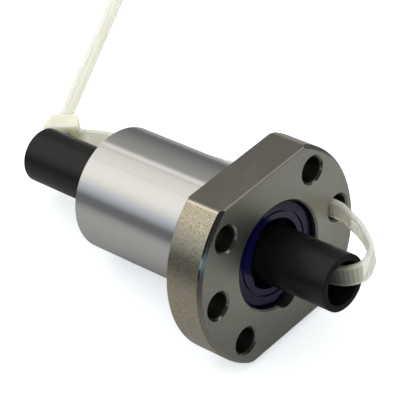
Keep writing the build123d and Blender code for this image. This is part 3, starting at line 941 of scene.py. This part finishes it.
@dataclass
class TieRoute:
    """Centre line of the strap in the plane of the tie, from the head's root to the tip.

    The corners of the front loop are given by their distance ahead of the arbor's front end, their
    distance off the axis and their bend radius; its first and last corner lie level with the run
    through the hole and the run in the bore, so they need no distance off the axis.
    """

    arbor_rear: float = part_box("arbor_tube")[0][0]
    arbor_front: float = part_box("arbor_tube")[1][0]
    arbor_radius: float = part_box("arbor_tube")[1][1]
    body_rear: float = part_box("nut_body")[0][0]
    body_radius: float = 14.0 * MM
    hole_offset: float = 18.3 * MM
    bore_offset: float = -1.4 * MM
    head_tilt: float = 29.0
    head_clearance: float = 0.25 * MM
    head_height: float = 4.9 * MM
    head_end: float = 6.25 * MM
    slot_behind_corner: float = 2.15 * MM
    slot_bend: float = 20.0 * MM
    root_height: float = 0.6 * MM
    root_inside: float = 1.0 * MM
    root_outside: float = 0.8 * MM
    root_bend: float = 12.0 * MM
    off_arbor: Span = (9.1 * MM, 5.2 * MM)
    off_body: float = 0.9 * MM
    level_from: float = -12.5 * MM
    slack_bend: float = 60.0 * MM
    rear_bend: float = 5.0 * MM
    front_loop: tuple[Place, ...] = (
        (-7.6 * MM, 15.3 * MM, 24.0 * MM),
        (-1.0 * MM, 10.9 * MM, 6.0 * MM),
        (1.4 * MM, 5.4 * MM, 3.2 * MM),
        (-0.95 * MM, 1.9 * MM, 6.0 * MM),
    )
    loop_start: Span = (-15.4 * MM, 8.0 * MM)
    loop_stop: Span = (-11.4 * MM, 15.0 * MM)
    tail_tilt: float = 30.8
    length: float = 298.3 * MM

    def on_head(self, along: float, outward: float) -> Vector:
        """A point of the head's own frame, which starts in the slot's mouth.

        Args:
            along: distance along the head.
            outward: distance out of the slot.

        Returns:
            The point in the part's frame.
        """
        tilt = math.radians(self.head_tilt)
        x_way = Vector((math.cos(tilt), math.sin(tilt), 0))
        y_way = Vector((-math.sin(tilt), math.cos(tilt), 0))
        corner = Vector((self.arbor_rear, self.arbor_radius, 0))
        origin = corner + y_way * self.head_clearance - x_way * self.slot_behind_corner
        return origin + x_way * along + y_way * outward

    def corners(self) -> list[tuple[Vector, float]]:
        """Lay out the route.

        Returns:
            Its corners, each with its bend radius; the first and last have none.
        """
        outward = self.on_head(0, 1) - self.on_head(0, 0)
        entry = self.on_head(0, 0)
        under_head = entry - outward * ((entry.y - self.bore_offset) / outward.y)
        exit_slot = self.on_head(0, self.head_height)
        tail = math.radians(self.tail_tilt + 90)
        tail_way = Vector((math.cos(tail), math.sin(tail), 0))
        past_arbor = (self.arbor_rear + self.off_arbor[0], self.arbor_radius + self.off_arbor[1], 0)
        loop = (
            (self.loop_start[0], self.hole_offset, self.loop_start[1]),
            *self.front_loop,
            (self.loop_stop[0], self.bore_offset, self.loop_stop[1]),
        )
        return [
            (self.on_head(self.head_end - self.root_inside, self.root_height), 0.0),
            (self.on_head(self.head_end + self.root_outside, self.root_height), self.root_bend),
            (Vector(past_arbor), self.slack_bend),
            (Vector((self.body_rear, self.body_radius + self.off_body, 0)), self.slack_bend),
            (Vector((self.level_from, self.hole_offset, 0)), self.slack_bend),
            *((Vector((self.arbor_front + ahead, off, 0)), bend) for ahead, off, bend in loop),
            (under_head, self.rear_bend),
            (exit_slot, self.slot_bend),
            (exit_slot + tail_way * self.length, 0.0),
        ]

    def curve(self) -> bpy.types.Object:
        """Draw the route as straights and tangent arcs.

        Returns:
            The curve, as long as the strap.
        """
        data = bpy.data.curves.new("strap_route", "CURVE")
        data.dimensions = "3D"
        data.twist_mode = "Z_UP"
        data.resolution_u = 24
        stops = self.stops()
        spline = data.splines.new("BEZIER")
        spline.bezier_points.add(len(stops) - 1)
        for point, (place, before, after) in zip(spline.bezier_points, stops):
            point.handle_left_type = point.handle_right_type = "FREE"
            point.co = place
            point.handle_left = place - before
            point.handle_right = place + after
        route = bpy.data.objects.new("strap_route", data)
        bpy.context.scene.collection.objects.link(route)
        return route

    def stops(self) -> list[tuple[Vector, Vector, Vector]]:
        """Ends of the straights and arcs.

        Returns:
            Each end's place and its two handles, of which the first is taken away from the place
            and the second added to it.
        """
        corners = self.corners()
        ends = [corners[0][0]]
        arcs: list[tuple[Vector, Vector, float]] = []
        for (last, _), (corner, radius), (following, _) in zip(corners, corners[1:], corners[2:]):
            way_in = (corner - last).normalized()
            way_out = (following - corner).normalized()
            turn = way_in.angle(way_out)
            reach = radius * math.tan(turn / 2)
            handle = radius * 4 / 3 * math.tan(turn / 4)
            ends += [corner - way_in * reach, corner + way_out * reach]
            arcs.append((way_in * handle, way_out * handle, radius * turn))
        used = sum((b - a).length for a, b in zip(ends[0:-1:2], ends[1::2]))
        used += sum(length for _, _, length in arcs)
        tail_way = (corners[-1][0] - ends[-1]).normalized()
        ends.append(ends[-1] + tail_way * (self.length - used))
        none = Vector((0, 0, 0))
        stops = [(ends[0], none, (ends[1] - ends[0]) / 3)]
        for index, (way_in, way_out, _) in enumerate(arcs):
            start, stop, following = ends[2 * index + 1 : 2 * index + 4]
            before = (start - ends[2 * index]) / 3
            stops += [(start, before, way_in), (stop, way_out, (following - stop) / 3)]
        stops.append((ends[-1], (ends[-1] - ends[-2]) / 3, none))
        return stops


@dataclass
class ToothedStrap:
    """The tie's strap in one piece: rails, a row of teeth between them and a tapered tip."""

    route: TieRoute = field(default_factory=TieRoute)
    finish: Finish = ToothedNylon("strap_nylon")
    width: float = 4.8 * MM
    thickness: float = 1.1 * MM
    edge_round: float = 0.22 * MM
    teeth: int = 330
    rail: float = 0.62 * MM
    groove: float = 0.36 * MM
    tooth_height: float = 0.20 * MM
    plain_root: float = 16.0 * MM
    plain_depth: float = 0.10 * MM
    crest: float = 0.7
    taper: float = 9.0 * MM
    tip_width: float = 2.4 * MM

    def build(self) -> bpy.types.Object:
        """Model one tooth, repeat it, cut the tip and lay the strap along its route.

        Returns:
            The strap.
        """
        pitch = self.route.length / self.teeth
        bench = self.tooth(pitch)
        bench.modify(
            "ARRAY",
            {
                "count": self.teeth,
                "use_relative_offset": False,
                "use_constant_offset": True,
                "constant_offset_displace": (pitch, 0, 0),
                "use_merge_vertices": True,
                "merge_threshold": 0.001 * MM,
            },
        )
        close = pitch / 10
        bench.close_rim(lambda edge: max(v.co.x for v in edge.verts) < close)
        bench.close_rim(lambda edge: min(v.co.x for v in edge.verts) > self.route.length - close)
        self.smooth_root(bench)
        self.cut_tip(bench)
        self.mark_along(bench, pitch)
        route = self.route.curve()
        bench.modify("CURVE", {"object": route, "deform_axis": "POS_X"})
        bpy.data.objects.remove(route)
        piece = bench.finished()
        piece.data.materials.append(self.finish.material())
        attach(piece, "tie")
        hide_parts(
            "tie_outer_run", "tie_front_loop", "tie_inner_run", "tie_rear_loop", "tie_tail"
        )
        return piece

    def tooth(self, pitch: float) -> Bench:
        """One pitch of the strap, open at both ends: thickness along Y, width along Z.

        Args:
            pitch: length of one tooth.

        Returns:
            The bench with the piece.
        """
        side = self.thickness / 2
        channel = self.width / 2 - self.rail
        size = (pitch, self.thickness, self.width)
        bench = Bench("tie_strap", (pitch / 2, 0, 0), size)
        bench.open_ends()
        for side_z in (channel, -channel):
            bench.cut((0, 0, side_z), (0, 0, 1))
        bench.pick(
            Part.FACES,
            lambda face: face.normal.y < -0.9 and abs(face.calc_center_median().z) < channel / 2,
        )
        bench.extrude((0, self.groove, 0))
        bench.open_ends()
        bench.cut((self.crest * pitch, 0, 0), (1, 0, 0))
        floor = self.groove - side
        bench.pick(
            Part.POINTS,
            lambda point: abs(point.co.y - floor) < side / 10
            and abs(point.co.x - self.crest * pitch) < pitch / 10,
        )
        bench.move((0, -self.tooth_height, 0))
        bench.pick(
            Part.EDGES,
            lambda edge: all(
                abs(abs(v.co.y) - side) < side / 10 and abs(v.co.z) > channel * 1.1
                for v in edge.verts
            )
            and abs(edge.verts[0].co.x - edge.verts[1].co.x) > pitch / 10,
        )
        bench.round_edges(self.edge_round, 2)
        return bench

    def smooth_root(self, bench: Bench) -> None:
        """Flatten the teeth of the first stretch behind the head, which a tie never locks on.

        Args:
            bench: the bench with the straight strap.
        """
        floor = self.groove - self.thickness / 2
        channel = self.width / 2 - self.rail
        hair = self.tooth_height / 10
        bench.pick(
            Part.POINTS,
            lambda point: point.co.x < self.plain_root
            and abs(point.co.z) < channel + hair
            and floor - self.tooth_height - hair < point.co.y < floor + hair,
        )
        level = self.plain_depth - self.thickness / 2
        bpy.ops.transform.resize(value=(1, 0, 1), center_override=(0, level, 0))

    def cut_tip(self, bench: Bench) -> None:
        """Cut both sides of the free end to a taper.

        Args:
            bench: the bench with the straight strap.
        """
        narrow = (self.width - self.tip_width) / 2
        for side in (1, -1):
            bench.cut(
                (self.route.length, 0, side * self.tip_width / 2),
                (narrow, 0, side * self.taper),
                keep_back=True,
            )

    def mark_along(self, bench: Bench, pitch: float) -> None:
        """Store how many teeth from the root each point lies.

        Args:
            bench: the bench with the straight strap.
            pitch: length of one tooth.
        """
        bpy.ops.object.mode_set(mode="OBJECT")
        mesh = bench.piece.data
        marks = mesh.attributes.new(ToothedNylon.bands, "FLOAT", "POINT")
        for point, mark in zip(mesh.vertices, marks.data):
            mark.value = point.co.x / pitch


@dataclass
class BallTrain:
    """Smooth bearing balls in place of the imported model's many-sided ones."""

    radius: float = 3.175 / 2 * MM
    cuts: int = 7
    finish: Finish = PolishedSteel("ball_steel")

    def build(self) -> None:
        """Put one set of balls at the centres of each packed group."""
        pattern = self.ball()
        pattern.data.materials.append(self.finish.material())
        for name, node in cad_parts.items():
            if name.startswith("balls_"):
                self.group(name, self.centres(node), pattern)
        bpy.data.objects.remove(pattern)

    def ball(self) -> bpy.types.Object:
        """Divide the faces of a block and push them out to a sphere.

        Returns:
            The ball.
        """
        bench = Bench("ball_pattern", (0, 0, 0), (2 * self.radius,) * 3)
        bench.pick(Part.FACES, lambda face: True)
        bpy.ops.mesh.subdivide(number_cuts=self.cuts)
        bpy.ops.transform.tosphere(value=1.0)
        bpy.ops.object.mode_set(mode="OBJECT")
        reach = bench.piece.data.vertices[0].co.length
        bench.pick(Part.POINTS, lambda point: True)
        bpy.ops.transform.resize(value=(self.radius / reach,) * 3, center_override=(0, 0, 0))
        return bench.finished(60.0)

    def centres(self, node: bpy.types.Object) -> list[Vector]:
        """Find the separate solids of a packed group of balls.

        Args:
            node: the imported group.

        Returns:
            Their centres, in the order of their places.
        """
        mesh = bmesh.new()
        mesh.from_mesh(node.data)
        bmesh.ops.remove_doubles(mesh, verts=mesh.verts, dist=0.001 * MM)
        found: list[Vector] = []
        waiting = set(mesh.verts)
        while waiting:
            island = {waiting.pop()}
            fresh = set(island)
            while fresh:
                near = {e.other_vert(v) for v in fresh for e in v.link_edges}
                fresh = near - island
                island |= fresh
            waiting -= island
            found.append(sum((v.co for v in island), Vector()) / len(island))
        mesh.free()
        return sorted(found, key=lambda place: tuple(place))

    def group(self, node: str, centres: list[Vector], pattern: bpy.types.Object) -> None:
        """Copy the ball to each centre and join the copies in one piece.

        Args:
            node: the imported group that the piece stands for.
            centres: where its balls are.
            pattern: the ball to copy.
        """
        name = node.replace("balls", "ball_set")
        bpy.ops.object.select_all(action="DESELECT")
        for centre in centres:
            copy = bpy.data.objects.new(name, pattern.data.copy())
            copy.data.transform(Matrix.Translation(centre))
            bpy.context.scene.collection.objects.link(copy)
            copy.select_set(True)
            bpy.context.view_layer.objects.active = copy
        bpy.ops.object.join()
        piece = bpy.context.active_object
        piece.name = name
        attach(piece, "nut")
        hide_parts(node)
        LOG.info("%s: %d balls", name, len(centres))


@dataclass
class Dressing:
    """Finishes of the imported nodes."""

    steel: Finish = GroundSteel("ground_steel")
    balls: Finish = PolishedSteel("ball_steel")
    wiper: Finish = MouldedPlastic(
        "wiper_plastic", (0.003, 0.003, 0.032), (0.005, 0.004, 0.040), 0.24, sheen=0.38
    )
    deflector: Finish = MouldedPlastic(
        "deflector_plastic", (0.015, 0.015, 0.016), (0.02, 0.02, 0.021), 0.4
    )
    arbor: Finish = MouldedPlastic(
        "arbor_plastic",
        (0.004, 0.004, 0.004),
        (0.006, 0.006, 0.0055),
        0.31,
        grain=1500.0,
        depth=0.003 * MM,
        along=(0.06, 1.0, 1.0),
        sheen=0.31,
        sawn_from=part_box("arbor_tube")[1][0],
    )
    nylon: Finish = NaturalNylon("tie_nylon")

    def finish_of(self, node: str) -> Finish:
        """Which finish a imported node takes.

        Args:
            node: the node's name.

        Returns:
            Its finish.
        """
        finishes = {
            "tie": self.nylon,
            "balls": self.balls,
            "wiper": self.wiper,
            "deflector": self.deflector,
            "arbor": self.arbor,
        }
        return next((finish for word, finish in finishes.items() if word in node), self.steel)

    def dress(self) -> None:
        """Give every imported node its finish."""
        made: dict[str, bpy.types.Material] = {}
        for name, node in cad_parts.items():
            finish = self.finish_of(name)
            if finish.name not in made:
                made[finish.name] = finish.material()
            node.data.materials.clear()
            node.data.materials.append(made[finish.name])
            LOG.info("%s: %s", name, finish.name)


def main() -> None:
    """Build the scene."""
    logging.basicConfig(level=logging.INFO, format="%(name)s: %(message)s")
    bpy.context.scene.view_settings.view_transform = "Standard"
    Studio().build()
    Dressing().dress()
    ToothedStrap().build()
    BallTrain().build()


if __name__ == "__main__":
    main()
